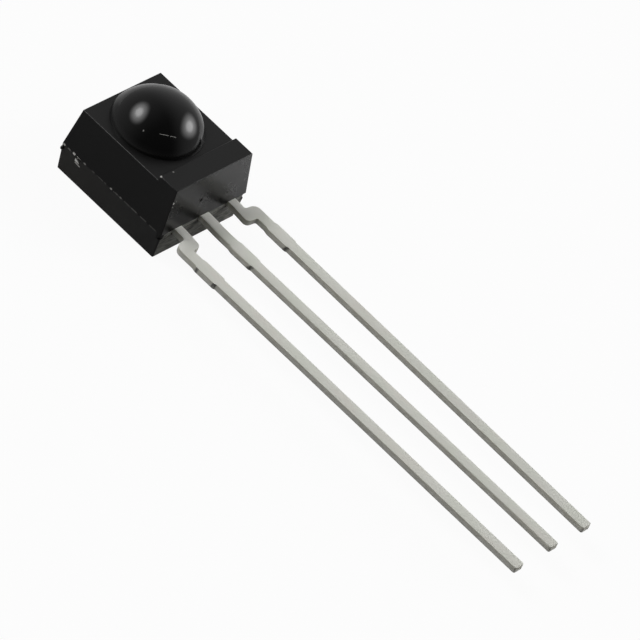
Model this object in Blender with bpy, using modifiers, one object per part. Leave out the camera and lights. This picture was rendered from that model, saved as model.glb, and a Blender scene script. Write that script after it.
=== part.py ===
"""Side-looking infrared receiver module with a domed lens and three leads.

It lies on its flat back: +Z is the lens axis, the leads run towards -Y, and the origin is the
point of the back face under the middle of the lens. All sizes are in metres.
"""
import math

import bmesh
import bpy
from mathutils import Vector

# Moulded body, measured from the exit face, where the leads come out
BODY_WIDTH = 0.00608
BODY_HEIGHT = 0.00694
PARTING_DEPTH = 0.00161
FACE_DEPTH = 0.00384
FACE_WIDTH = 0.00537
BACK_WIDTH = 0.00580

# Draft of the two ends, as set-backs from the parting line
EXIT_SETBACK_FRONT = 0.00037
EXIT_SETBACK_BACK = 0.00006
TOP_SETBACK_FRONT = 0.00016
TOP_SETBACK_BACK = 0.00016

# Raised strip along the lead end of the front face
STRIP_REACH = 0.00155
STRIP_HEIGHT = 0.00027
STRIP_RISER_DRAFT = 0.00004

# Domed lens, part of the same casting
LENS_RADIUS = 0.00258
LENS_HEIGHT = 0.00170
LENS_TOP_LAND = 0.00006
LENS_ROOT = 0.00030

# Lead frame, stamped from flat strip
LEAD_THICKNESS = 0.00035
LEAD_WIDTH = 0.00060
LEAD_LENGTH = 0.02397
LEAD_PITCH = 0.00254
NECK_WIDTH = 0.00050
NECK_PITCH = 0.00192
TIP_RADIUS = 0.00010

# Jog that brings the outer leads from the neck pitch to the lead pitch
JOG_START = 0.00074
JOG_WIDTH = 0.00071
JOG_SLOPE = 0.00007
JOG_OUTER_RADIUS = 0.00042
JOG_INNER_RADIUS = 0.00028
JOG_FILLET = 0.00012

# Stubs of the dam bar that joined the leads while the body was moulded
DAM_START = 0.00212
DAM_LENGTH = 0.00145
DAM_STUB = 0.00006
DAM_RAMP = 0.00022

# The right lead stands out a little at its jog and leans in towards its tip
SUPPLY_SET_OUT = 0.00007
SUPPLY_LEAN = -0.00020

# Pads of the frame inside the casting
PAD_GAP = 0.00030
PAD_RADIUS = 0.00012
PAD_MARGIN = 0.00035
SPOON_START = 0.00095
SPOON_REACH = 0.00030
TIE_BAR_WIDTH = 0.00035
TIE_BAR_INSET = 0.00114

# Chips and their adhesive
PHOTODIODE_SIZE = 0.00195
PHOTODIODE_THICKNESS = 0.00028
RECEIVER_WIDTH = 0.00145
RECEIVER_HEIGHT = 0.00115
RECEIVER_THICKNESS = 0.00025
CHIP_SPACING = 0.00045
ADHESIVE_THICKNESS = 0.00003
ADHESIVE_FILLET = 0.00006

# Gold bond wires
WIRE_RADIUS = 0.000015
WIRE_LOOP = 0.00034
BOND_INSET = 0.00018
WIRE_POINTS = 14

# Clearance between any two pieces that touch in the real module
FIT_GAP = 0.00002

ARC_STEPS = 6
LENS_STEPS = 64
LENS_RINGS = 18
WELD_DISTANCE = 0.0000005

# Values that follow from the sizes above
LEAD_TOP = PARTING_DEPTH
LEAD_BOTTOM = LEAD_TOP - LEAD_THICKNESS
STRIP_TOP = FACE_DEPTH + STRIP_HEIGHT
LENS_FOOT_RADIUS = math.sqrt(LENS_RADIUS ** 2 - (LENS_RADIUS - LENS_HEIGHT) ** 2)
LENS_RISE = BODY_HEIGHT - TOP_SETBACK_FRONT - LENS_TOP_LAND - LENS_FOOT_RADIUS
LENS_CENTRE_DEPTH = FACE_DEPTH + LENS_HEIGHT - LENS_RADIUS

# The model's Y starts at the lens axis, so the exit face lies below it
EXIT_Y = -LENS_RISE
TOP_Y = EXIT_Y + BODY_HEIGHT
TIP_Y = EXIT_Y - LEAD_LENGTH
JOG_LOWER = JOG_START + JOG_WIDTH

# Chips are stacked downwards from the lens axis
RECEIVER_Y = -PHOTODIODE_SIZE / 2 - CHIP_SPACING - RECEIVER_HEIGHT / 2
SHOULDER_Y = -PHOTODIODE_SIZE / 2 - CHIP_SPACING / 2
TIE_BAR_Y = TOP_Y - TIE_BAR_INSET
ADHESIVE_BASE = LEAD_TOP + FIT_GAP
CHIP_BASE = ADHESIVE_BASE + ADHESIVE_THICKNESS + FIT_GAP
SPOON_INNER = NECK_PITCH - NECK_WIDTH / 2 - SPOON_REACH


def remove_everything():
    for item in list(bpy.data.objects):
        bpy.data.objects.remove(item, do_unlink=True)
    for group in list(bpy.data.collections):
        bpy.data.collections.remove(group)


def collection(name):
    group = bpy.data.collections.new(name)
    bpy.context.scene.collection.children.link(group)
    return group


def material(name, colour, roughness, metallic=0.0):
    made = bpy.data.materials.new(name)
    made.use_nodes = True
    shader = made.node_tree.nodes["Principled BSDF"]
    shader.inputs["Base Color"].default_value = (*colour, 1.0)
    shader.inputs["Roughness"].default_value = roughness
    shader.inputs["Metallic"].default_value = metallic
    return made


def add_object(name, data, group, finish=None):
    made = bpy.data.objects.new(name, data)
    group.objects.link(made)
    if finish:
        data.materials.clear()
        data.materials.append(finish)
    else:
        made.hide_render = True
        made.display_type = "WIRE"
    return made


def mesh_from(bm, name):
    bmesh.ops.recalc_face_normals(bm, faces=bm.faces)
    mesh = bpy.data.meshes.new(name)
    bm.to_mesh(mesh)
    bm.free()
    return mesh


def mesh_from_curve(name, curve, height=0.0):
    """Turn a curve into a closed mesh, with its caps welded on or its open ends filled."""
    holder = bpy.data.objects.new(name + "_curve", curve)
    bpy.context.scene.collection.objects.link(holder)
    evaluated = holder.evaluated_get(bpy.context.evaluated_depsgraph_get())
    mesh = bpy.data.meshes.new_from_object(evaluated)
    bpy.data.objects.remove(holder, do_unlink=True)
    bpy.data.curves.remove(curve)
    bm = bmesh.new()
    bm.from_mesh(mesh)
    bmesh.ops.remove_doubles(bm, verts=bm.verts, dist=WELD_DISTANCE)
    bmesh.ops.holes_fill(bm, edges=[edge for edge in bm.edges if edge.is_boundary], sides=0)
    bmesh.ops.translate(bm, verts=bm.verts, vec=(0.0, 0.0, height))
    bpy.data.meshes.remove(mesh)
    return mesh_from(bm, name)


def place_level(verts, half_width, low_y, high_y, depth):
    """Move the four corners of one level of a block to their places."""
    for vert in verts:
        vert.co.x = math.copysign(half_width, vert.co.x)
        vert.co.y = high_y if vert.co.y > 0 else low_y
        vert.co.z = depth


def block_mesh(name, lower, upper):
    """Tapered block between two levels, each given as (half width, low y, high y, depth)."""
    bm = bmesh.new()
    bmesh.ops.create_cube(bm, size=1.0)
    lower_verts = [vert for vert in bm.verts if vert.co.z < 0]
    upper_verts = [vert for vert in bm.verts if vert.co.z > 0]
    place_level(lower_verts, *lower)
    place_level(upper_verts, *upper)
    return mesh_from(bm, name)


def box_mesh(name, half_width, low_y, high_y, bottom, top):
    return block_mesh(name, (half_width, low_y, high_y, bottom),
                      (half_width, low_y, high_y, top))


def round_corners(corners):
    """Turn (x, y, radius) corners into an outline whose corners are arcs."""
    outline = []
    for index, (x, y, radius) in enumerate(corners):
        corner = Vector((x, y))
        if radius == 0.0:
            outline.append(corner)
            continue
        back = (Vector(corners[index - 1][:2]) - corner).normalized()
        ahead = (Vector(corners[(index + 1) % len(corners)][:2]) - corner).normalized()
        half_angle = back.angle(ahead) / 2
        centre = corner + (back + ahead).normalized() * radius / math.sin(half_angle)
        start = corner + back * radius / math.tan(half_angle) - centre
        end = corner + ahead * radius / math.tan(half_angle) - centre
        sweep = start.angle_signed(end)
        for step in range(ARC_STEPS + 1):
            turn = -sweep * step / ARC_STEPS
            outline.append(centre + Vector((
                start.x * math.cos(turn) - start.y * math.sin(turn),
                start.x * math.sin(turn) + start.y * math.cos(turn))))
    return outline


def grow_outline(outline, gap):
    """Offset a closed outline outwards by the gap, with mitred corners."""
    area = sum(a.x * b.y - b.x * a.y for a, b in zip(outline, outline[1:] + outline[:1]))
    side = 1.0 if area > 0 else -1.0
    grown = []
    for index, point in enumerate(outline):
        into = (point - outline[index - 1]).normalized()
        onward = (outline[(index + 1) % len(outline)] - point).normalized()
        into_normal = Vector((into.y, -into.x)) * side
        onward_normal = Vector((onward.y, -onward.x)) * side
        mitre = (into_normal + onward_normal).normalized()
        grown.append(point + mitre * gap / mitre.dot(into_normal))
    return grown


def plate_mesh(name, outline, bottom, top):
    """Flat plate between two heights: the wall of a 2D curve, closed by one face each side."""
    curve = bpy.data.curves.new(name, "CURVE")
    curve.dimensions = "2D"
    curve.fill_mode = "NONE"
    curve.extrude = (top - bottom) / 2
    spline = curve.splines.new("POLY")
    spline.points.add(len(outline) - 1)
    for point, corner in zip(spline.points, outline):
        point.co = (corner.x, corner.y, 0.0, 1.0)
    spline.use_cyclic_u = True
    return mesh_from_curve(name, curve, (top + bottom) / 2)


def tube_mesh(name, points, radius):
    curve = bpy.data.curves.new(name, "CURVE")
    curve.dimensions = "3D"
    curve.bevel_depth = radius
    curve.bevel_resolution = 2
    curve.use_fill_caps = True
    spline = curve.splines.new("POLY")
    spline.points.add(len(points) - 1)
    for point, place in zip(spline.points, points):
        point.co = (*place, 1.0)
    return mesh_from_curve(name, curve)


def lead_cut(name, outline, cutters):
    """The room that a piece of the lead frame takes in the casting."""
    room = plate_mesh(name + "_room", grow_outline(outline, FIT_GAP),
                      LEAD_BOTTOM - FIT_GAP, LEAD_TOP + FIT_GAP)
    return add_object(name + "_room", room, cutters)


# Lead frame

def straight_run(centre, set_out, lean):
    """Both sides of a lead from its dam-bar stubs to its tip, outer side first."""
    half = LEAD_WIDTH / 2
    dam_top = EXIT_Y - DAM_START
    dam_bottom = dam_top - DAM_LENGTH
    heights = [(dam_top, half, 0.0),
               (dam_top - DAM_RAMP, half + DAM_STUB, 0.0),
               (dam_bottom, half + DAM_STUB, 0.0),
               (dam_bottom - DAM_RAMP / 2, half, 0.0),
               (TIP_Y, half, TIP_RADIUS)]

    def shift(y):
        run = (EXIT_Y - JOG_LOWER - y) / (LEAD_LENGTH - JOG_LOWER)
        return centre + set_out + lean * run

    outer = [(shift(y) + reach, y, radius) for y, reach, radius in heights]
    inner = [(shift(y) - reach, y, radius) for y, reach, radius in reversed(heights)]
    return outer, inner


def outer_lead_outline(side, set_out=0.0, lean=0.0):
    """Outline of an outer lead; side is 1 on the right and -1 on the left."""
    neck_inner = NECK_PITCH - NECK_WIDTH / 2
    neck_outer = NECK_PITCH + NECK_WIDTH / 2
    run_inner = LEAD_PITCH + set_out - LEAD_WIDTH / 2
    run_outer = LEAD_PITCH + set_out + LEAD_WIDTH / 2
    spoon_end = SHOULDER_Y - PAD_GAP
    outer, inner = straight_run(LEAD_PITCH, set_out, lean)
    corners = [(neck_outer, spoon_end, PAD_RADIUS),
               (neck_outer, EXIT_Y - JOG_START, JOG_FILLET),
               (run_outer, EXIT_Y - JOG_START - JOG_SLOPE, JOG_OUTER_RADIUS)]
    corners += outer
    corners += inner
    corners += [(run_inner, EXIT_Y - JOG_LOWER - JOG_SLOPE, JOG_FILLET),
                (neck_inner, EXIT_Y - JOG_LOWER, JOG_INNER_RADIUS),
                (neck_inner, EXIT_Y + SPOON_START, PAD_RADIUS),
                (SPOON_INNER, EXIT_Y + SPOON_START, PAD_RADIUS),
                (SPOON_INNER, spoon_end, PAD_RADIUS)]
    return [Vector((point.x * side, point.y)) for point in round_corners(corners)]


def ground_lead_outline():
    """Outline of the middle lead with the chip pad and its tie bars."""
    neck = LEAD_WIDTH / 2
    lower_pad = SPOON_INNER - PAD_GAP
    upper_pad = PHOTODIODE_SIZE / 2 + PAD_MARGIN
    pad_bottom = RECEIVER_Y - RECEIVER_HEIGHT / 2 - PAD_MARGIN
    bar_low = TIE_BAR_Y - TIE_BAR_WIDTH / 2
    bar_high = TIE_BAR_Y + TIE_BAR_WIDTH / 2
    half_body = BODY_WIDTH / 2
    right = [(half_body, bar_high, 0.0),
             (half_body, bar_low, 0.0),
             (upper_pad, bar_low, PAD_RADIUS),
             (upper_pad, SHOULDER_Y, PAD_RADIUS),
             (lower_pad, SHOULDER_Y, PAD_RADIUS),
             (lower_pad, pad_bottom, PAD_RADIUS),
             (neck, pad_bottom, PAD_RADIUS)]
    outer, inner = straight_run(0.0, 0.0, 0.0)
    left = [(-x, y, radius) for x, y, radius in reversed(right)]
    return round_corners(right + outer + inner + left)


def make_leads(group, cutters):
    tinned = {"colour": (0.66, 0.66, 0.61), "roughness": 0.45, "metallic": 1.0}
    outlines = {"output_lead": outer_lead_outline(-1),
                "ground_lead": ground_lead_outline(),
                "supply_lead": outer_lead_outline(1, SUPPLY_SET_OUT, SUPPLY_LEAN)}
    rooms = []
    for name, outline in outlines.items():
        mesh = plate_mesh(name, outline, LEAD_BOTTOM, LEAD_TOP)
        add_object(name, mesh, group, material(name + "_tin", **tinned))
        rooms.append(lead_cut(name, outline, cutters))
    return rooms


# Chips, each on its layer of adhesive

def make_chip(name, centre_y, width, height, thickness, group, cutters):
    silicon = material(name + "_silicon", (0.10, 0.11, 0.16), 0.25, metallic=0.3)
    silver = material(name + "_silver_adhesive", (0.55, 0.55, 0.55), 0.6, metallic=0.5)
    half = width / 2
    low_y = centre_y - height / 2
    high_y = centre_y + height / 2
    chip_top = CHIP_BASE + thickness
    chip = box_mesh(name + "_chip", half, low_y, high_y, CHIP_BASE, chip_top)
    add_object(name + "_chip", chip, group, silicon)
    adhesive_foot = (half + ADHESIVE_FILLET, low_y - ADHESIVE_FILLET, high_y + ADHESIVE_FILLET,
                     ADHESIVE_BASE)
    adhesive_top = (half, low_y, high_y, ADHESIVE_BASE + ADHESIVE_THICKNESS)
    adhesive = block_mesh(name + "_adhesive", adhesive_foot, adhesive_top)
    add_object(name + "_adhesive", adhesive, group, silver)
    spread = ADHESIVE_FILLET + FIT_GAP
    foot_room = box_mesh(name + "_foot_room", half + spread, low_y - spread, high_y + spread,
                         LEAD_TOP, CHIP_BASE)
    chip_room = box_mesh(name + "_chip_room", half + FIT_GAP, low_y - FIT_GAP, high_y + FIT_GAP,
                         LEAD_TOP, chip_top + FIT_GAP)
    return [add_object(mesh.name, mesh, cutters) for mesh in (foot_room, chip_room)]


# Bond wires

def wire_path(start, end):
    """A loop that leaves and lands upright, clear of both surfaces by the gap."""
    lift = Vector((0.0, 0.0, FIT_GAP))
    loop = Vector((0.0, 0.0, WIRE_LOOP))
    first = start + lift
    last = end + lift
    path = []
    for step in range(WIRE_POINTS):
        t = step / (WIRE_POINTS - 1)
        path.append(first * (1 - t) ** 3 + (first + loop) * 3 * t * (1 - t) ** 2
                    + (last + loop) * 3 * t ** 2 * (1 - t) + last * t ** 3)
    return path


def make_wires(group, cutters):
    photodiode_top = CHIP_BASE + PHOTODIODE_THICKNESS
    receiver_top = CHIP_BASE + RECEIVER_THICKNESS
    bond_x = RECEIVER_WIDTH / 2 - BOND_INSET
    bond_low = RECEIVER_Y - RECEIVER_HEIGHT / 2 + BOND_INSET
    bond_high = RECEIVER_Y + RECEIVER_HEIGHT / 2 - BOND_INSET
    spoon_y = SHOULDER_Y - PAD_GAP - PAD_MARGIN
    anode_y = -PHOTODIODE_SIZE / 2 + BOND_INSET
    ground_y = RECEIVER_Y - RECEIVER_HEIGHT / 2 - PAD_MARGIN / 2
    ends = {
        "bond_wire_signal": ((bond_x, anode_y, photodiode_top), (bond_x, bond_high, receiver_top)),
        "bond_wire_ground": ((0.0, bond_low, receiver_top), (0.0, ground_y, LEAD_TOP)),
        "bond_wire_output": ((-bond_x, RECEIVER_Y, receiver_top), (-NECK_PITCH, spoon_y, LEAD_TOP)),
        "bond_wire_supply": ((bond_x, RECEIVER_Y, receiver_top), (NECK_PITCH, spoon_y, LEAD_TOP))}
    gold = {"colour": (0.83, 0.61, 0.25), "roughness": 0.25, "metallic": 1.0}
    rooms = []
    for name, (start, end) in ends.items():
        path = wire_path(Vector(start), Vector(end))
        mesh = tube_mesh(name, path, WIRE_RADIUS)
        add_object(name, mesh, group, material(name + "_gold", **gold))
        sink = Vector((0.0, 0.0, 2 * FIT_GAP))
        room = tube_mesh(name + "_room", [path[0] - sink] + path + [path[-1] - sink],
                         WIRE_RADIUS + FIT_GAP)
        rooms.append(add_object(name + "_room", room, cutters))
    return rooms


# Casting with its lens

def body_levels():
    """Half width, ends and depth of the casting at its back, parting line and strip top."""
    taper = (BODY_WIDTH - FACE_WIDTH) / 2 / (FACE_DEPTH - PARTING_DEPTH)
    strip_half = FACE_WIDTH / 2 - taper * STRIP_HEIGHT
    top_slope = TOP_SETBACK_FRONT / (FACE_DEPTH - PARTING_DEPTH)
    strip_top_y = TOP_Y - top_slope * (STRIP_TOP - PARTING_DEPTH)
    back = (BACK_WIDTH / 2, EXIT_Y + EXIT_SETBACK_BACK, TOP_Y - TOP_SETBACK_BACK, 0.0)
    parting = (BODY_WIDTH / 2, EXIT_Y, TOP_Y, PARTING_DEPTH)
    front = (strip_half, EXIT_Y + EXIT_SETBACK_FRONT, strip_top_y, STRIP_TOP)
    return back, parting, front


def face_recess(cutters):
    """Everything above the front face, from the strip's riser to the top end."""
    strip_edge = EXIT_Y + STRIP_REACH
    past_top = TOP_Y + STRIP_REACH
    mesh = block_mesh("face_recess",
                      (BODY_WIDTH, strip_edge + STRIP_RISER_DRAFT, past_top, FACE_DEPTH),
                      (BODY_WIDTH, strip_edge - STRIP_RISER_DRAFT, past_top,
                       STRIP_TOP + STRIP_HEIGHT))
    return add_object("face_recess", mesh, cutters)


def lens_dome(cutters):
    """The dome, turned from an arc that starts at its pole and ends in the casting."""
    foot_angle = math.asin(LENS_FOOT_RADIUS / LENS_RADIUS)
    bm = bmesh.new()
    verts = []
    for ring in range(LENS_RINGS + 1):
        angle = foot_angle * ring / LENS_RINGS
        verts.append(bm.verts.new((LENS_RADIUS * math.sin(angle), 0.0,
                                   LENS_CENTRE_DEPTH + LENS_RADIUS * math.cos(angle))))
    verts.append(bm.verts.new((LENS_FOOT_RADIUS, 0.0, FACE_DEPTH - LENS_ROOT)))
    verts.append(bm.verts.new((0.0, 0.0, FACE_DEPTH - LENS_ROOT)))
    for upper, lower in zip(verts, verts[1:]):
        bm.edges.new((upper, lower))
    mesh = bpy.data.meshes.new("lens_dome")
    bm.to_mesh(mesh)
    bm.free()
    dome = add_object("lens_dome", mesh, cutters)
    turn = dome.modifiers.new("turn", "SCREW")
    turn.steps = LENS_STEPS
    turn.render_steps = LENS_STEPS
    turn.use_merge_vertices = True
    turn.merge_threshold = WELD_DISTANCE
    turn.use_smooth_shade = True
    return dome


def cut_or_join(target, tool, operation):
    step = target.modifiers.new(tool.name, "BOOLEAN")
    step.operation = operation
    step.solver = "EXACT"
    step.object = tool


def make_body(group, cutters, rooms):
    epoxy = material("black_epoxy", (0.020, 0.020, 0.021), 0.38)
    back, parting, front = body_levels()
    back_half = block_mesh("moulded_body", back, parting)
    front_half = block_mesh("front_half", parting, front)
    body = add_object("moulded_body", back_half, group, epoxy)
    cut_or_join(body, add_object("front_half", front_half, cutters), "UNION")
    cut_or_join(body, face_recess(cutters), "DIFFERENCE")
    cut_or_join(body, lens_dome(cutters), "UNION")
    for room in rooms:
        cut_or_join(body, room, "DIFFERENCE")


def make_all():
    remove_everything()
    group = collection("infrared_receiver")
    cutters = collection("cutters")
    rooms = make_leads(group, cutters)
    rooms += make_chip("photodiode", 0.0, PHOTODIODE_SIZE, PHOTODIODE_SIZE,
                       PHOTODIODE_THICKNESS, group, cutters)
    rooms += make_chip("receiver", RECEIVER_Y, RECEIVER_WIDTH, RECEIVER_HEIGHT,
                       RECEIVER_THICKNESS, group, cutters)
    rooms += make_wires(group, cutters)
    make_body(group, cutters, rooms)


make_all()
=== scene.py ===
import math

import bmesh
import bpy
from mathutils import Matrix, Vector, noise


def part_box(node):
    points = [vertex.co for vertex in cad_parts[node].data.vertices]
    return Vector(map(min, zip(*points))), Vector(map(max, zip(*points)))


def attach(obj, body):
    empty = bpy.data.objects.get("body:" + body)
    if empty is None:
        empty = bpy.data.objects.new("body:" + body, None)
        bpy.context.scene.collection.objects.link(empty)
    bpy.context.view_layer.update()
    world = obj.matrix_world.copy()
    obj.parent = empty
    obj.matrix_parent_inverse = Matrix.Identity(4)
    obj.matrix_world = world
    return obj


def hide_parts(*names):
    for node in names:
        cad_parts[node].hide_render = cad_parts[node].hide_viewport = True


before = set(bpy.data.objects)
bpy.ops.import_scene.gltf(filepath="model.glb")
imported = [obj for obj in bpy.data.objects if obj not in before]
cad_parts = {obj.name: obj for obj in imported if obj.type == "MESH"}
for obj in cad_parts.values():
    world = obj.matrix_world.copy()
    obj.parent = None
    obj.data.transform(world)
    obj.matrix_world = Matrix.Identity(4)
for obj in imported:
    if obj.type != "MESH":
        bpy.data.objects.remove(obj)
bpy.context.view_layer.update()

MM = 0.001

# Camera
# A long lens looks down on the module from beyond its left side, so that the leads run to the
# lower right of a square picture.
CAMERA_DISTANCE = 294.43 * MM
CAMERA_LENS = 347.26
CAMERA_TURN = math.radians(-63.53)
CAMERA_ELEVATION = math.radians(41.75)
CAMERA_ROLL = math.radians(24.98)
CAMERA_AIM = Vector((1.80, -11.39, 0.0)) * MM

turned = (Matrix.Rotation(CAMERA_TURN, 4, "Z")
          @ Matrix.Rotation(math.pi / 2 - CAMERA_ELEVATION, 4, "X")
          @ Matrix.Rotation(CAMERA_ROLL, 4, "Z"))
camera = bpy.data.objects.new("camera", bpy.data.cameras.new("camera"))
camera.data.lens = CAMERA_LENS
camera.data.sensor_width = 36.0
camera.data.clip_start = CAMERA_DISTANCE / 10
camera.data.clip_end = CAMERA_DISTANCE * 20
camera.matrix_world = (Matrix.Translation(CAMERA_AIM) @ turned
                       @ Matrix.Translation((0.0, 0.0, CAMERA_DISTANCE)))
bpy.context.scene.collection.objects.link(camera)
bpy.context.scene.camera = camera
bpy.context.scene.view_settings.view_transform = "Standard"


# Lead frame
# Three leads are stamped from one strip of iron alloy, 0.35 mm thick, and plated with matt tin.
# The die rolls their edges and leaves duller sides. The dam bar that joined them was cut away
# after moulding, and the small steps it left are darkened with painted shade. Each lead bends a
# little to the right at its root.
LEADS = ("output_lead", "ground_lead", "supply_lead")
FRAME_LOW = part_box("output_lead")[0].z
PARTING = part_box("output_lead")[1].z
ROLLED_EDGE = 0.045 * MM
FLAT_ANGLE = math.radians(1.0)
EDGE_ANGLE = math.radians(25.0)
SMOOTH_ANGLE = math.radians(40.0)
MERGE_REACH = 0.0005 * MM
TIN_ROUGHNESS = 0.56
SIDE_ROUGHNESS = 0.50
TIN = (0.715, 0.715, 0.66)
WARM_TIN = (0.695, 0.67, 0.615)
GREEN_TIN = (0.675, 0.695, 0.615)
# Painted light: paler tin for the lead roots, which the casting shades
ROOT_TIN_PAINTED_LIGHT = (0.94, 0.94, 0.88)
CUT_SIDE = (0.80, 0.79, 0.735)
DULL_SIDE = (0.67, 0.66, 0.595)
BURNISHED_SIDE = (0.60, 0.585, 0.49)
# Painted shade for the small steps at the cut dam bar
STEP_SHADE = (0.10, 0.095, 0.09)
TORN_BAR = (0.02, 0.019, 0.018)
BRIGHT_TEAR = (0.92, 0.91, 0.87)

# How far the leads are bent, and where the bend sets in and fades out along them
ROOT_BEND = {"output_lead": 0.10 * MM, "ground_lead": 0.07 * MM, "supply_lead": 0.10 * MM}
BEND_START = -3.90 * MM
BEND_FULL = -4.10 * MM
BEND_KEPT = -4.35 * MM
BEND_END = -5.70 * MM
BEND_STEPS = 4

# The tin is painted paler towards the lead roots, as painted light against the casting's shadow on
# them
ROOT_LIGHT_ENDS = -5.8 * MM
ROOT_LIGHT_FULL = -4.8 * MM

# The punch burnished the upper part of the cut sides
BURNISHED_FROM = FRAME_LOW + 0.12 * MM
BURNISHED_FULLY = FRAME_LOW + 0.30 * MM

# Painted shade at the small steps the cut dam bar left, in mm: the side's place across, and where
# a mark starts and ends along the lead
STEP_SHADE_MARKS = ((-2.90, -7.83, -7.89), (-0.36, -7.78, -8.04), (2.22, -7.80, -8.02),
               (-2.84, -6.67, -6.72))
STEP_SHADE_REACH = 0.15

# The tie bars were torn off flush with the casting, the left one with a bright tear, which is
# given as a row of marks()
TIE_BAR_INNER = 2.99 * MM
TIE_BAR_OUTER = 3.02 * MM
TIE_BAR_TEAR = ((-3.04, 1.60, 1.36), (-3.04, 1.45, 1.30), 0.13, 1.0)


class Pattern:
    """What varies over a surface: an output of a shader node, on which maths adds more nodes."""

    def __init__(self, tree, socket):
        self.tree = tree
        self.socket = socket

    def node(self, kind, inputs, settings=None, output=0):
        """Add a node, with its settings first and then the value or link of each of its inputs."""
        made = self.tree.nodes.new(kind)
        for name, value in (settings or {}).items():
            setattr(made, name, value)
        for name, value in inputs.items():
            if isinstance(value, Pattern):
                self.tree.links.new(value.socket, made.inputs[name])
            else:
                made.inputs[name].default_value = value
        return Pattern(self.tree, made.outputs[output])

    def math(self, operation, first, second=0.0):
        return self.node("ShaderNodeMath", {0: first, 1: second}, {"operation": operation})

    def __add__(self, other):
        return self.math("ADD", self, other)

    def __sub__(self, other):
        return self.math("SUBTRACT", self, other)

    def __rsub__(self, other):
        return self.math("SUBTRACT", other, self)

    def __mul__(self, other):
        return self.math("MULTIPLY", self, other)

    def __or__(self, other):
        return self.math("MAXIMUM", self, other)

    __radd__ = __add__
    __rmul__ = __mul__

    def limit(self, low, high):
        """A mask that rises smoothly from 0 at the low value to 1 at the high one."""
        return self.node("ShaderNodeMapRange", {"Value": self, "From Min": low, "From Max": high},
                         {"interpolation_type": "SMOOTHSTEP"})

    def mottle(self, grain, detail=3.0):
        """Soft noise around 0.5 in patches of about the grain's size."""
        return self.node("ShaderNodeTexNoise", {"Vector": self, "Scale": 1.0 / grain,
                                                "Detail": detail, "Roughness": 0.55})

    def stretch(self, along, place=(0.0, 0.0, 0.0)):
        """The same coordinates moved to a place and drawn out by a factor along each axis."""
        scale = tuple(1.0 / factor for factor in along)
        return self.node("ShaderNodeMapping", {"Vector": self, "Location": place, "Scale": scale})

    def part(self, axis):
        return self.node("ShaderNodeSeparateXYZ", {"Vector": self}, output="XYZ".index(axis))

    def vector(self, operation, first, second=(0.0, 0.0, 0.0), output="Vector"):
        return self.node("ShaderNodeVectorMath", {0: first, 1: second},
                         {"operation": operation}, output=output)

    def beside(self, start, end, reach):
        """A mask that is 1 on the line from start to end and fades out at the reach from it."""
        span = end - start
        offset = self.vector("SUBTRACT", self, start)
        along = self.vector("DOT_PRODUCT", offset, span / span.length_squared, "Value")
        share = self.node("ShaderNodeClamp", {"Value": along})
        foot = self.node("ShaderNodeVectorMath", {0: span, "Scale": share},
                         {"operation": "SCALE"})
        off = self.vector("LENGTH", self.vector("SUBTRACT", offset, foot), output="Value")
        return 1.0 - off.limit(0.35 * reach, reach)

    def marks(self, rows):
        """A mask of many marks. A row has a start, an end and a reach, in mm, and a strength."""
        whole = 0.0
        for start, end, reach, strength in rows:
            line = self.beside(Vector(start) * MM, Vector(end) * MM, reach * MM)
            whole = line * strength | whole
        return whole

    def blend(self, mask, first, second):
        """Colour that goes from the first to the second as the mask goes from 0 to 1."""
        colours = [value if isinstance(value, Pattern) else (*value, 1.0)
                   for value in (first, second)]
        return self.node("ShaderNodeMix", {0: mask, 6: colours[0], 7: colours[1]},
                         {"data_type": "RGBA"}, output=2)

    def bump(self, depth):
        return self.node("ShaderNodeBump", {"Height": self, "Distance": depth, "Strength": 1.0})


def surface(name, constants, vary):
    """A material: constants sit on the shader's sockets, and vary(place) gives the links."""
    made = bpy.data.materials.new(name)
    made.use_nodes = True
    tree = made.node_tree
    shader = tree.nodes["Principled BSDF"]
    for socket, value in constants.items():
        shader.inputs[socket].default_value = value
    place = Pattern(tree, tree.nodes.new("ShaderNodeTexCoord").outputs["Object"])
    for socket, value in vary(place).items():
        tree.links.new(value.socket, shader.inputs[socket])
    return made


def merged_copy(node):
    """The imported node's shape as one skin, with each flat side one face."""
    bm = bmesh.new()
    bm.from_mesh(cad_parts[node].data)
    bmesh.ops.remove_doubles(bm, verts=bm.verts, dist=MERGE_REACH)
    bmesh.ops.dissolve_limit(bm, verts=bm.verts, edges=bm.edges, angle_limit=FLAT_ANGLE)
    return bm


def add_piece(name, bm, materials):
    mesh = bpy.data.meshes.new(name)
    bm.to_mesh(mesh)
    bm.free()
    for finish in materials:
        mesh.materials.append(finish)
    piece = bpy.data.objects.new(name, mesh)
    bpy.context.scene.collection.objects.link(piece)
    return piece


def bend_root(bm, lead):
    """Shift a lead's root to the right, from just inside the casting to where the bend ends."""
    faded = [BEND_KEPT + (BEND_END - BEND_KEPT) * step / BEND_STEPS
             for step in range(BEND_STEPS + 1)]
    for cut in (BEND_START, BEND_FULL, *faded):
        bmesh.ops.bisect_plane(bm, geom=bm.faces[:] + bm.edges[:] + bm.verts[:],
                               plane_co=(0, cut, 0), plane_no=(0, 1, 0))
    for vert in bm.verts:
        rise = (BEND_START - vert.co.y) / (BEND_START - BEND_FULL)
        fall = (vert.co.y - BEND_END) / (BEND_KEPT - BEND_END)
        rise, fall = (max(0.0, min(1.0, share)) for share in (rise, fall))
        vert.co.x += ROOT_BEND[lead] * min(rise, fall * fall * (3 - 2 * fall))


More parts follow.
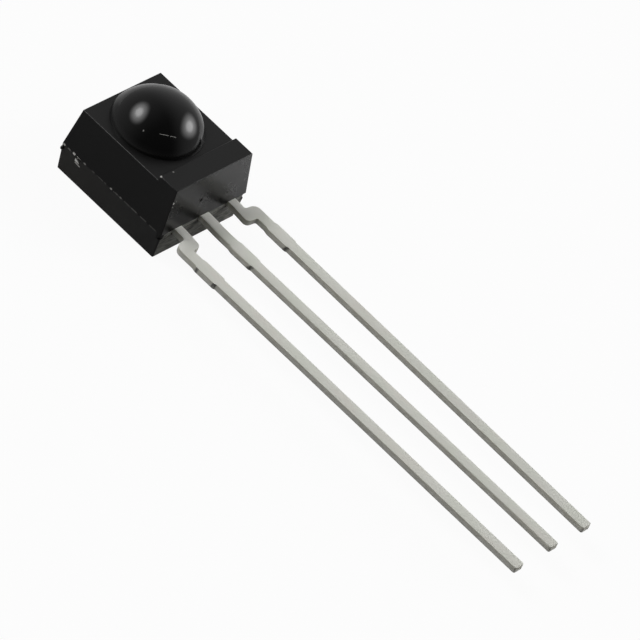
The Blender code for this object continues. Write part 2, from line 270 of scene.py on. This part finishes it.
def tinned_face(place):
    tone = place.mottle(1.6 * MM).limit(0.35, 0.65)
    warm = place.stretch((1, 3, 1), (0.004, 0.002, 0.0)).mottle(0.9 * MM).limit(0.52, 0.68)
    colour = place.blend(tone * 0.6, TIN, GREEN_TIN)
    colour = place.blend(warm * 0.6, colour, WARM_TIN)
    # Painted light: the tin turns paler towards the roots, where the casting shades the leads
    root_light = place.part("Y").limit(ROOT_LIGHT_ENDS, ROOT_LIGHT_FULL)
    colour = place.blend(root_light, colour, ROOT_TIN_PAINTED_LIGHT)
    swell = place.mottle(0.5 * MM, detail=2.0)
    return {"Base Color": colour, "Roughness": tone * 0.08 + TIN_ROUGHNESS,
            "Normal": swell.bump(0.006 * MM)}


def stamped_side(place):
    streak = place.stretch((1, 1, 6)).mottle(0.08 * MM)
    dull = place.mottle(0.45 * MM).limit(0.42, 0.62)
    colour = place.blend(dull * 0.8, CUT_SIDE, DULL_SIDE)
    burnished = place.part("Z").limit(BURNISHED_FROM, BURNISHED_FULLY)
    colour = place.blend(burnished * 0.7, colour, BURNISHED_SIDE)
    # Painted shade: dark marks at the steps where the dam bar was cut
    step_shade = place.marks(((side_x, start_y, FRAME_LOW / MM), (side_x, end_y, PARTING / MM),
                         STEP_SHADE_REACH, 1.0) for side_x, start_y, end_y in STEP_SHADE_MARKS)
    colour = place.blend(step_shade * (streak.limit(0.3, 0.6) * 0.5 + 0.4), colour, STEP_SHADE)
    tie_bar = place.math("ABSOLUTE", place.part("X")).limit(TIE_BAR_INNER, TIE_BAR_OUTER)
    colour = place.blend(tie_bar, colour, TORN_BAR)
    colour = place.blend(place.marks([TIE_BAR_TEAR]), colour, BRIGHT_TEAR)
    return {"Base Color": colour, "Roughness": streak * 0.1 + SIDE_ROUGHNESS,
            "Normal": (streak * 0.5 + dull).bump(0.004 * MM)}


tin = surface("matt_tin", {"Metallic": 0.08}, tinned_face)
cut_side = surface("stamped_side", {"Metallic": 0.1}, stamped_side)

for lead in LEADS:
    bm = merged_copy(lead)
    bend_root(bm, lead)
    sharp = [edge for edge in bm.edges if edge.calc_face_angle(0.0) > EDGE_ANGLE]
    bmesh.ops.bevel(bm, geom=sharp, offset=ROLLED_EDGE, segments=3, profile=0.5,
                    affect="EDGES", material=-1, clamp_overlap=True)
    for face in bm.faces:
        face.smooth = True
        face.material_index = 0 if abs(face.normal.z) > 0.5 else 1
    piece = add_piece(lead + "_plated", bm, (tin, cut_side))
    piece.data.set_sharp_from_angle(angle=SMOOTH_ANGLE)
    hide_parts(lead)
    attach(piece, "root")


# Casting
# The housing and its lens are one transfer moulding of black epoxy that lets only infrared
# through. The faces carry the mould's fine texture, the lens is polished down to its duller
# foot, which is painted a little lighter as painted light, and thin flash is left where the
# mould parts, level with the top of the lead frame.
FACE_DEPTH = 3.84 * MM
STRIP_TOP = 4.11 * MM
STRIP_REACH = 1.55 * MM
FACE_HALF_WIDTH = 2.685 * MM
RIGHT_FACE_HALF_WIDTH = 2.785 * MM
BACK_HALF_WIDTH = 2.90 * MM
EXIT_SETBACK = 0.37 * MM
EXIT_BACK_SETBACK = 0.06 * MM
TOP_SETBACK = 0.16 * MM
EDGE_RADIUS = 0.035 * MM
BACK_CORNER_RADIUS = 0.07 * MM
NOTCH_CORNER_RADIUS = 0.26 * MM
NOTCH_DEPTH = 0.008 * MM
FLASH_THICKNESS = 0.03 * MM
FLASH_REACH = 0.05 * MM
FLASH_STEP = 0.06 * MM
FLASH_WAVE = 0.35 * MM
FLASH_RIPPLE = 0.11 * MM
FLASH_SET_IN = 0.002 * MM
LENS_RADIUS = 2.58 * MM
LENS_WALL_RADIUS = 2.37 * MM
LENS_WALL_DRAFT = 0.01 * MM
LENS_ROOT_DEPTH = 0.3 * MM
LENS_OFF_CENTRE = Vector((0.045, -0.03, 0.0)) * MM
LENS_RINGS = 40
LENS_STEPS = 128
WIDEST_DRAFT = math.radians(11.0)
ROOM_CLEARANCE = 0.012 * MM
JOIN_REACH = 0.0001 * MM
SAME_DEPTH = 0.001 * MM
FACE_MARGIN = 0.005 * MM
UPRIGHT_RISE = 0.1 * MM
EPOXY_IOR = 1.43
MATT_ROUGHNESS = 0.31
EXIT_ROUGHNESS = 0.24
LENS_ROUGHNESS = 0.04
EPOXY = (0.0040, 0.0040, 0.0040)
BROWN_EPOXY = (0.0170, 0.0156, 0.0130)
# Painted light: pale grey for the lower lead end, which lies in shade under the leads
TORN_END_PAINTED_LIGHT = (0.270, 0.270, 0.245)
# Painted light: the lens foot is a little lighter over the dark band there
FOOT_EPOXY_PAINTED_LIGHT = (0.0110, 0.0110, 0.0110)
# Pale flash, partly real and partly a painted highlight standing in for its glints
FLASH_AND_GLINT = (0.85, 0.84, 0.80)
# Painted shade inside the pit in the lead end
PIT_SHADE = (0.0015, 0.0015, 0.0015)
FLASH_NUB = Vector((-3.02, 2.56, 1.36)) * MM
FLASH_NUB_SIZE = Vector((0.13, 0.10, 0.12)) * MM

# The flash sheet's top is a hair above the parting plane, because the halves of the casting
# don't join closed with a sheet that shares a plane with them
FLASH_RISE = 0.004 * MM

# The side below the parting line is browner, most of all away from the leads
BROWN_EDGE = 0.1 * MM
BROWN_START = -5.0 * MM
BROWN_FULLY = 2.6 * MM

# The lead end is torn and rougher below the top of the lead frame, and painted pale grey there as
# painted light for the floor's light under the leads
TORN_AND_LIT_FULLY = PARTING - 0.10 * MM
TORN_AND_LIT_UP_TO = PARTING + 0.02 * MM

# The polish ends a little above the lens's foot, and below it the lens is also painted a little
# lighter, as painted light over the dark band at its foot
POLISH_START = FACE_DEPTH + 0.10 * MM
POLISH_FULLY = FACE_DEPTH + 0.50 * MM

# Torn flash along the left side, painted as bright as its glints, in mm: place along the body,
# length, and how strongly its painted highlight shows, which also makes a fleck wider
LEFT_FLASH = ((2.51, 0.06, 0.7), (2.17, 0.10, 0.25), (1.82, 0.05, 1.0), (1.07, 0.06, 0.4),
              (0.46, 0.12, 0.08), (0.01, 0.12, 0.08), (-0.37, 0.08, 0.08), (-0.79, 0.04, 0.5),
              (-1.15, 0.14, 0.14), (-1.46, 0.05, 0.30), (-1.95, 0.42, 0.08), (-2.40, 0.30, 0.13),
              (-3.10, 0.25, 0.10), (-3.70, 0.40, 0.07))
LEFT_SEAM_X = -3.04
LEFT_SEAM_Z = 1.60
FLECK_REACH = 0.055
FLECK_REACH_GAIN = 0.035
FAINT_FLECKS = 0.12

# Crumbs and smears of flash, a pit in the lead end darkened with painted shade, and pale lines and
# a speck on the lens, as rows of marks()
FACE_MARKS = (((-3.0, 1.60, 1.20), (-3.0, 1.32, 1.17), 0.06, 0.7),
              ((-2.70, -4.08, 3.47), (-2.70, -4.07, 3.49), 0.08, 1.0),
              ((-2.68, -3.92, 3.57), (-2.68, -3.92, 3.58), 0.04, 0.4),
              ((-2.64, -2.80, 4.10), (-2.62, -2.78, 4.11), 0.08, 0.6),
              ((-1.85, -2.88, 4.11), (-1.84, -2.88, 4.11), 0.06, 0.25),
              ((-2.82, 1.97, 1.15), (-2.82, 1.95, 1.15), 0.04, 0.3),
              ((-2.9, -0.15, 1.95), (-2.9, -0.20, 1.95), 0.04, 0.2),
              ((-2.23, -0.23, 3.84), (-2.22, -0.25, 3.84), 0.04, 0.2))
EXIT_MARKS = (((-2.67, -4.02, 3.39), (-2.67, -4.02, 3.40), 0.07, 1.0),
              ((-2.69, -4.05, 3.19), (-2.69, -4.05, 3.20), 0.05, 0.4),
              ((-2.49, -4.02, 3.44), (-2.49, -4.02, 3.45), 0.05, 0.2))
EXIT_PIT = ((-0.55, -4.14, 2.69), (-0.53, -4.14, 2.71), 0.12, 1.0)
# Pale, rougher lines and a speck on the lens
LENS_PALE_LINES = (((-1.349, -1.123, 4.851), (-1.038, -1.420, 4.848), 0.024, 1.0),
                ((-0.961, -1.482, 4.840), (-0.745, -1.650, 4.798), 0.024, 1.0),
                ((-1.831, -0.489, 4.711), (-1.82, -0.48, 4.715), 0.06, 1.0))

body_low, body_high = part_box("moulded_body")
EXIT_Y = body_low.y
TOP_Y = body_high.y
HALF_WIDTH = body_high.x
LENS_TOP = body_high.z


def side_place(side, z):
    """Where a side of the casting is at a depth: it tapers both ways from the parting line."""
    if z < PARTING:
        return side * (BACK_HALF_WIDTH + (HALF_WIDTH - BACK_HALF_WIDTH) * z / PARTING)
    face_half = RIGHT_FACE_HALF_WIDTH if side > 0 else FACE_HALF_WIDTH
    share = (z - PARTING) / (FACE_DEPTH - PARTING)
    return side * (HALF_WIDTH + (face_half - HALF_WIDTH) * share)


def exit_end(z):
    if z < PARTING:
        return EXIT_Y + EXIT_BACK_SETBACK * (1 - z / PARTING)
    return EXIT_Y + EXIT_SETBACK * (z - PARTING) / (STRIP_TOP - PARTING)


def top_end(z):
    if z < PARTING:
        return TOP_Y - TOP_SETBACK * (1 - z / PARTING)
    return TOP_Y - TOP_SETBACK * (z - PARTING) / (FACE_DEPTH - PARTING)


def drafted_block(low, high, pushed_in=0.0, with_strip=False):
    """A block between two depths, tapered as the mould is, with the raised strip if asked."""
    bm = bmesh.new()
    bmesh.ops.create_cube(bm, size=2.0)
    for vert in bm.verts:
        vert.co.z = high if vert.co.z > 0 else low
    if with_strip:
        strip_edge = 2 * STRIP_REACH / (TOP_Y - EXIT_Y) - 1
        top = max(bm.faces, key=lambda face: face.calc_center_median().z)
        geom = [top, *top.edges, *top.verts]
        bmesh.ops.bisect_plane(bm, geom=geom, plane_co=(0, strip_edge, 0), plane_no=(0, 1, 0))
        strip = min((face for face in bm.faces if face.normal.z > 0.5),
                    key=lambda face: face.calc_center_median().y)
        raised = bmesh.ops.extrude_face_region(bm, geom=[strip])["geom"]
        bmesh.ops.delete(bm, geom=[strip], context="FACES_ONLY")
        for item in raised:
            if isinstance(item, bmesh.types.BMVert):
                item.co.z = STRIP_TOP
    # Along y, the ends are still at -1 and 1 and the strip's edge lies between them
    for vert in bm.verts:
        z = vert.co.z
        if vert.co.y < -0.99:
            vert.co.y = exit_end(z) + pushed_in
        elif vert.co.y > 0.99:
            vert.co.y = top_end(z)
        else:
            vert.co.y = EXIT_Y + STRIP_REACH
        vert.co.x = side_place(math.copysign(1.0, vert.co.x), z)
    bmesh.ops.dissolve_limit(bm, verts=bm.verts, edges=bm.edges, angle_limit=FLAT_ANGLE)
    bmesh.ops.recalc_face_normals(bm, faces=bm.faces)
    return bm


def at_depth(edge, depths):
    return any(all(abs(vert.co.z - z) < SAME_DEPTH for vert in edge.verts) for z in depths)


def exit_corner(edge):
    """Is this an upright edge at the end where the leads come out?"""
    first, second = (vert.co for vert in edge.verts)
    return abs(first.z - second.z) > UPRIGHT_RISE and first.y < EXIT_Y / 2


def round_edges(bm, radius, segments, keep_sharp, chosen=None):
    """Round the edges of a block, apart from those that lie at the depths to keep sharp."""
    edges = [edge for edge in bm.edges
             if edge.calc_face_angle(0.0) > EDGE_ANGLE and not at_depth(edge, keep_sharp)
             and (chosen is None or chosen(edge))]
    bmesh.ops.bevel(bm, geom=edges, offset=radius, segments=segments, profile=0.5,
                    affect="EDGES", material=-1, clamp_overlap=True)


def flash_sheet():
    """The thin ragged fin that the resin leaves where the mould parts, not at the lead end."""
    near_y = EXIT_Y + NOTCH_CORNER_RADIUS
    corners = [Vector((HALF_WIDTH, near_y, 0)), Vector((HALF_WIDTH, TOP_Y, 0)),
               Vector((-HALF_WIDTH, TOP_Y, 0)), Vector((-HALF_WIDTH, near_y, 0))]
    bm = bmesh.new()
    rim = []
    for start, end in zip(corners, corners[1:]):
        outward = (end - start).cross(Vector((0, 0, 1))).normalized()
        steps = round((end - start).length / FLASH_STEP)
        for step in range(1, steps):
            spot = start.lerp(end, step / steps)
            ragged = noise.noise(spot / FLASH_WAVE) + 0.6 * noise.noise(spot / FLASH_RIPPLE)
            reach = FLASH_REACH * max(0.0, min(1.0, ragged))
            inside = Vector((0.0, 0.0, PARTING + FLASH_RISE)) - FLASH_SET_IN * outward
            rim.append(bm.verts.new(spot + inside + outward * reach))
    bm.faces.new(rim)
    sheet = bmesh.ops.extrude_face_region(bm, geom=bm.faces[:])["geom"]
    lift = [item for item in sheet if isinstance(item, bmesh.types.BMVert)]
    bmesh.ops.translate(bm, verts=lift, vec=(0, 0, -FLASH_THICKNESS))
    bmesh.ops.recalc_face_normals(bm, faces=bm.faces)
    return bm


def lens_dome():
    """The lens, spun from its arc and short wall, and carried down into the casting."""
    centre = LENS_TOP - LENS_RADIUS
    rim = math.asin(LENS_WALL_RADIUS / LENS_RADIUS)
    bm = bmesh.new()
    arc = [bm.verts.new((LENS_RADIUS * math.sin(rim * ring / LENS_RINGS), 0.0,
                         centre + LENS_RADIUS * math.cos(rim * ring / LENS_RINGS)))
           for ring in range(LENS_RINGS + 1)]
    wall_foot = LENS_WALL_RADIUS + LENS_WALL_DRAFT
    root = FACE_DEPTH - LENS_ROOT_DEPTH
    arc += [bm.verts.new(spot) for spot in
            ((wall_foot, 0.0, FACE_DEPTH), (wall_foot, 0.0, root), (0.0, 0.0, root))]
    profile = [bm.edges.new(pair) for pair in zip(arc, arc[1:])]
    bmesh.ops.spin(bm, geom=arc + profile, cent=(0, 0, 0), axis=(0, 0, 1),
                   angle=2 * math.pi, steps=LENS_STEPS, use_merge=True)
    bmesh.ops.remove_doubles(bm, verts=bm.verts, dist=MERGE_REACH)
    bmesh.ops.translate(bm, verts=bm.verts, vec=LENS_OFF_CENTRE)
    bmesh.ops.recalc_face_normals(bm, faces=bm.faces)
    return bm


def combine(target, tool, operation):
    """Join a tool to the target, or cut it away, and merge corners that fall together."""
    step = target.modifiers.new(operation, "BOOLEAN")
    step.operation = operation
    step.solver = "EXACT"
    step.object = tool
    evaluated = target.evaluated_get(bpy.context.evaluated_depsgraph_get())
    result = bpy.data.meshes.new_from_object(evaluated)
    target.modifiers.clear()
    old = target.data
    target.data = result
    bpy.data.meshes.remove(old)
    bpy.data.objects.remove(tool, do_unlink=True)
    bm = bmesh.new()
    bm.from_mesh(result)
    bmesh.ops.remove_doubles(bm, verts=bm.verts, dist=JOIN_REACH)
    bmesh.ops.dissolve_degenerate(bm, edges=bm.edges, dist=JOIN_REACH)
    bm.to_mesh(result)
    bm.free()


def room_for(node, bent=False):
    """The room that a piece takes inside the casting, a hair larger than the piece."""
    bm = bmesh.new()
    bm.from_mesh(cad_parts[node].data)
    bmesh.ops.remove_doubles(bm, verts=bm.verts, dist=MERGE_REACH)
    if bent:
        bend_root(bm, node)
    bm.normal_update()
    for vert in bm.verts:
        vert.co += vert.normal * ROOM_CLEARANCE
    return add_piece(node + "_room", bm, ())


def seam_flecks(place, height):
    """The line where the mould parts, with pale torn flash here and there, painted bright as a
    painted highlight of its glints.
    """
    near = height.math("ABSOLUTE", height - PARTING + FLASH_THICKNESS / 2)
    at_line = 1.0 - near.limit(0.02 * MM, 0.05 * MM)
    faint = at_line * (place.mottle(0.22 * MM, detail=4.0).limit(0.52, 0.66) * FAINT_FLECKS)
    bright = place.marks(((LEFT_SEAM_X, middle - length / 2, LEFT_SEAM_Z),
                          (LEFT_SEAM_X, middle + length / 2, LEFT_SEAM_Z),
                          FLECK_REACH + FLECK_REACH_GAIN * strength, strength)
                         for middle, length, strength in LEFT_FLASH)
    return faint | bright


def matt_face(place):
    height = place.part("Z")
    grain = place.mottle(0.045 * MM, detail=2.0)
    cloud = place.mottle(1.2 * MM).limit(0.35, 0.65)
    below_seam = 1.0 - height.limit(PARTING - BROWN_EDGE, PARTING)
    brown = below_seam * place.part("Y").limit(BROWN_START, BROWN_FULLY)
    colour = place.blend(brown, EPOXY, BROWN_EPOXY)
    colour = place.blend(seam_flecks(place, height), colour, FLASH_AND_GLINT)
    colour = place.blend(place.marks(FACE_MARKS), colour, FLASH_AND_GLINT)
    return {"Base Color": colour, "Roughness": cloud * 0.06 + grain * 0.06 + MATT_ROUGHNESS,
            "Normal": grain.bump(0.0025 * MM)}


def exit_face(place):
    height = place.part("Z")
    grain = place.mottle(0.06 * MM, detail=2.0)
    cloud = place.mottle(0.9 * MM).limit(0.35, 0.65)
    torn_and_lit = 1.0 - height.limit(TORN_AND_LIT_FULLY, TORN_AND_LIT_UP_TO)
    drag = place.stretch((5, 1, 1)).mottle(0.09 * MM).limit(0.3, 0.7)
    # Painted light: the torn lower part of the lead end is painted pale grey
    colour = place.blend(torn_and_lit * (drag * 0.7 + 0.3), EPOXY, TORN_END_PAINTED_LIGHT)
    colour = place.blend(place.marks(EXIT_MARKS), colour, FLASH_AND_GLINT)
    pit = place.marks([EXIT_PIT])
    # Painted shade: the pit is painted darker than the epoxy
    colour = place.blend(pit, colour, PIT_SHADE)
    rough = cloud * 0.04 + grain * 0.06 + torn_and_lit * 0.2 + EXIT_ROUGHNESS + pit * 0.7
    return {"Base Color": colour, "Roughness": rough,
            "Normal": (grain * (torn_and_lit * 6.0 + 1.0) - pit * 40.0).bump(0.001 * MM)}


def polished_lens(place):
    haze = place.mottle(0.8 * MM)
    foot = 1.0 - place.part("Z").limit(POLISH_START, POLISH_FULLY)
    pale_lines = place.marks(LENS_PALE_LINES)
    # Painted light: the lens foot is painted a little lighter
    colour = place.blend(foot, EPOXY, FOOT_EPOXY_PAINTED_LIGHT)
    return {"Base Color": place.blend(pale_lines * 0.4, colour, FLASH_AND_GLINT),
            "Roughness": haze * 0.04 + foot * 0.25 + pale_lines * 0.4 + LENS_ROUGHNESS,
            "Normal": haze.bump(0.0005 * MM)}


epoxy = surface("matt_epoxy", {"IOR": EPOXY_IOR}, matt_face)
lens = surface("polished_lens", {"IOR": EPOXY_IOR}, polished_lens)
lead_end = surface("exit_epoxy", {"IOR": EPOXY_IOR}, exit_face)
finishes = (epoxy, lens, lead_end)

lower = drafted_block(0.0, FRAME_LOW)
round_edges(lower, BACK_CORNER_RADIUS, 4, [FRAME_LOW], exit_corner)
round_edges(lower, EDGE_RADIUS, 3, [FRAME_LOW])
casting = add_piece("casting", lower, finishes)
middle = drafted_block(FRAME_LOW, PARTING, pushed_in=NOTCH_DEPTH)
round_edges(middle, NOTCH_CORNER_RADIUS, 4, [FRAME_LOW, PARTING], exit_corner)
round_edges(middle, EDGE_RADIUS, 3, [FRAME_LOW, PARTING])
combine(casting, add_piece("middle_part", middle, ()), "UNION")
upper = drafted_block(PARTING, FACE_DEPTH, with_strip=True)
round_edges(upper, EDGE_RADIUS, 3, [PARTING])
combine(casting, add_piece("upper_half", upper, ()), "UNION")
nub = bmesh.new()
bmesh.ops.create_icosphere(nub, subdivisions=2, radius=1.0)
bmesh.ops.scale(nub, verts=nub.verts, vec=FLASH_NUB_SIZE)
bmesh.ops.translate(nub, verts=nub.verts, vec=FLASH_NUB)
combine(casting, add_piece("flash_nub", nub, ()), "UNION")
combine(casting, add_piece("flash_sheet", flash_sheet(), ()), "UNION")
combine(casting, add_piece("lens_dome", lens_dome(), ()), "UNION")
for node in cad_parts:
    if node != "moulded_body":
        combine(casting, room_for(node), "DIFFERENCE")
    if node in LEADS:
        combine(casting, room_for(node, bent=True), "DIFFERENCE")
casting.data.set_sharp_from_angle(angle=SMOOTH_ANGLE)
for face in casting.data.polygons:
    from_axis = Vector(face.center[:2]) - Vector(LENS_OFF_CENTRE[:2])
    above_face = face.center.z > FACE_DEPTH + FACE_MARGIN
    on_lens = above_face and from_axis.length < LENS_WALL_RADIUS + LENS_WALL_DRAFT
    across = max(abs(part) for part in face.normal) > math.cos(WIDEST_DRAFT)
    at_exit = face.normal.y < -math.cos(WIDEST_DRAFT) and not on_lens
    finish = lens if on_lens else lead_end if at_exit else epoxy
    face.material_index = finishes.index(finish)
    face.use_smooth = on_lens or not across
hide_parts("moulded_body")
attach(casting, "root")


# Chips, adhesive and bond wires
# Sealed in the casting on the pad of the middle lead: a photodiode under the lens, the receiver
# chip beside it, the silver adhesive under each, and the gold wires that join them.
SILICON = (0.05, 0.06, 0.10)
METAL_LAYER = (0.35, 0.30, 0.42)
SILVER = (0.55, 0.55, 0.56)
GREY_SILVER = (0.40, 0.40, 0.40)
GOLD = (0.83, 0.61, 0.25)
DARK_GOLD = (0.75, 0.52, 0.20)
TRACK_BLOCK = 0.12 * MM


def chip_face(place):
    blocks = place.node("ShaderNodeTexVoronoi", {"Vector": place, "Scale": 1.0 / TRACK_BLOCK},
                        {"distance": "CHEBYCHEV"})
    tracks = blocks.limit(0.3, 0.45)
    return {"Base Color": place.blend(tracks * 0.5, SILICON, METAL_LAYER),
            "Roughness": tracks * 0.15 + 0.15}


def silver_paste(place):
    flakes = place.mottle(0.01 * MM)
    return {"Base Color": place.blend(flakes, SILVER, GREY_SILVER),
            "Roughness": flakes * 0.3 + 0.4, "Normal": flakes.bump(0.002 * MM)}


def drawn_gold(place):
    draw_lines = place.mottle(0.006 * MM)
    return {"Base Color": place.blend(draw_lines, GOLD, DARK_GOLD),
            "Roughness": draw_lines * 0.1 + 0.15}


INNER = {"chip": surface("silicon", {"Metallic": 0.2}, chip_face),
         "adhesive": surface("silver_adhesive", {"Metallic": 0.6}, silver_paste),
         "wire": surface("gold_wire", {"Metallic": 1.0}, drawn_gold)}
for node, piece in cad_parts.items():
    for word, finish in INNER.items():
        if word in node:
            piece.data.materials.clear()
            piece.data.materials.append(finish)


# Floor and light
# The module lies on a satin white sheet that is bright on its right and painted dark on its left
# as painted shade, in a pale tent that is brightest behind it and on its right. A soft lamp shines
# through the tent from behind on the left, and a lower one from the right.
FLOOR_REACH = 0.12
# Painted shade: the sheet's colour near the module and to its left
NEAR_PAINTED_SHADE = (0.27, 0.27, 0.27)
FAR_PAINT = (0.80, 0.80, 0.80)
BRIGHT_SIDE = Vector((1.0, 0.0, 0.0))
PAINT_FADE = (1 * MM, 8 * MM)
FLOOR_ROUGHNESS = 0.20

# How far the sheet shows as plain white to the camera, and in reflections
FLOOR_WHITE = 0.94
FLOOR_WHITE_IN_GLOSS = 0.05

# The tent's own light, its two pale panels, and the ways to the lamps and along their length
TENT_SHADE = 0.05
RIGHT_PANEL = 0.30
RIGHT_PANEL_WAY = Vector((0.962, -0.272, -0.024))
RIGHT_PANEL_FADE = (0.08, 0.78)
BACK_PANEL = 0.29
BACK_PANEL_WAY = Vector((0.049, 0.996, 0.070))
BACK_PANEL_FADE = (-0.3, 1.0)
LEFT_LAMP_WAY = Vector((-0.308, 0.621, 0.721))
LEFT_LAMP_ALONG = Vector((0.899, 0.437, 0.018))
RIGHT_LAMP_WAY = Vector((0.721, -0.496, 0.484))
RIGHT_LAMP_ALONG = Vector((0.653, 0.603, -0.458))

bm = bmesh.new()
bmesh.ops.create_grid(bm, x_segments=1, y_segments=1, size=FLOOR_REACH)
floor = add_piece("floor", bm, ())

sheet = bpy.data.materials.new("white_sheet")
sheet.use_nodes = True
tree = sheet.node_tree
shader = tree.nodes["Principled BSDF"]
shader.inputs["Roughness"].default_value = FLOOR_ROUGHNESS
path = tree.nodes.new("ShaderNodeLightPath")
camera_ray, glossy_ray, clear_ray = (Pattern(tree, path.outputs[kind]) for kind in (
    "Is Camera Ray", "Is Glossy Ray", "Is Transmission Ray"))
place = Pattern(tree, tree.nodes.new("ShaderNodeTexCoord").outputs["Object"])
far = place.vector("DOT_PRODUCT", place, BRIGHT_SIDE, "Value").limit(*PAINT_FADE)
# Painted shade near the module on the left; the camera sees the far colour
paint = place.blend(far | camera_ray, NEAR_PAINTED_SHADE, FAR_PAINT)
tree.links.new(paint.socket, shader.inputs["Base Color"])
seen_white = camera_ray * FLOOR_WHITE + (glossy_ray | clear_ray) * FLOOR_WHITE_IN_GLOSS
white = camera_ray.node("ShaderNodeEmission", {"Color": (1.0, 1.0, 1.0, 1.0), "Strength": 1.0})
mixed = camera_ray.node("ShaderNodeMixShader",
                        {0: seen_white, 1: Pattern(tree, shader.outputs[0]), 2: white})
tree.links.new(mixed.socket, tree.nodes["Material Output"].inputs["Surface"])
floor.data.materials.append(sheet)

world = bpy.data.worlds.new("tent")
bpy.context.scene.world = world
world.use_nodes = True
tree = world.node_tree
way = Pattern(tree, tree.nodes.new("ShaderNodeTexCoord").outputs["Generated"])


def towards(direction):
    return way.vector("DOT_PRODUCT", way, direction.normalized(), "Value")


def soft_lamp(direction, along, half_length, half_width, core, glow, glow_reach):
    """A bright oval of the given half sizes in radians, and the glow it makes on the tent."""
    across = direction.cross(along)
    u = towards(along) * (1.0 / half_length)
    v = towards(across) * (1.0 / half_width)
    far = u * u + v * v
    level = ((1.0 - far.limit(0.0, 1.0)) * core
             + (1.0 - far.math("SQRT", far).limit(0.5, glow_reach)) * glow)
    return level * towards(direction).limit(0.0, 0.1)


tent = (towards(RIGHT_PANEL_WAY).limit(*RIGHT_PANEL_FADE) * RIGHT_PANEL
        + towards(BACK_PANEL_WAY).limit(*BACK_PANEL_FADE) * BACK_PANEL + TENT_SHADE)
left_lamp = soft_lamp(LEFT_LAMP_WAY, LEFT_LAMP_ALONG, half_length=0.228, half_width=0.169,
                      core=4.4, glow=5.1, glow_reach=2.2)
right_lamp = soft_lamp(RIGHT_LAMP_WAY, RIGHT_LAMP_ALONG, half_length=0.258, half_width=0.174,
                       core=3.8, glow=4.1, glow_reach=2.05)
lit = way.node("ShaderNodeBackground",
               {"Color": (1.0, 1.0, 1.0, 1.0), "Strength": tent + left_lamp + right_lamp})
white = way.node("ShaderNodeBackground", {"Color": (1.0, 1.0, 1.0, 1.0), "Strength": 1.0})
path = tree.nodes.new("ShaderNodeLightPath")
shown = way.node("ShaderNodeMixShader",
                 {0: Pattern(tree, path.outputs["Is Camera Ray"]), 1: lit, 2: white})
tree.links.new(shown.socket, tree.nodes["World Output"].inputs["Surface"])
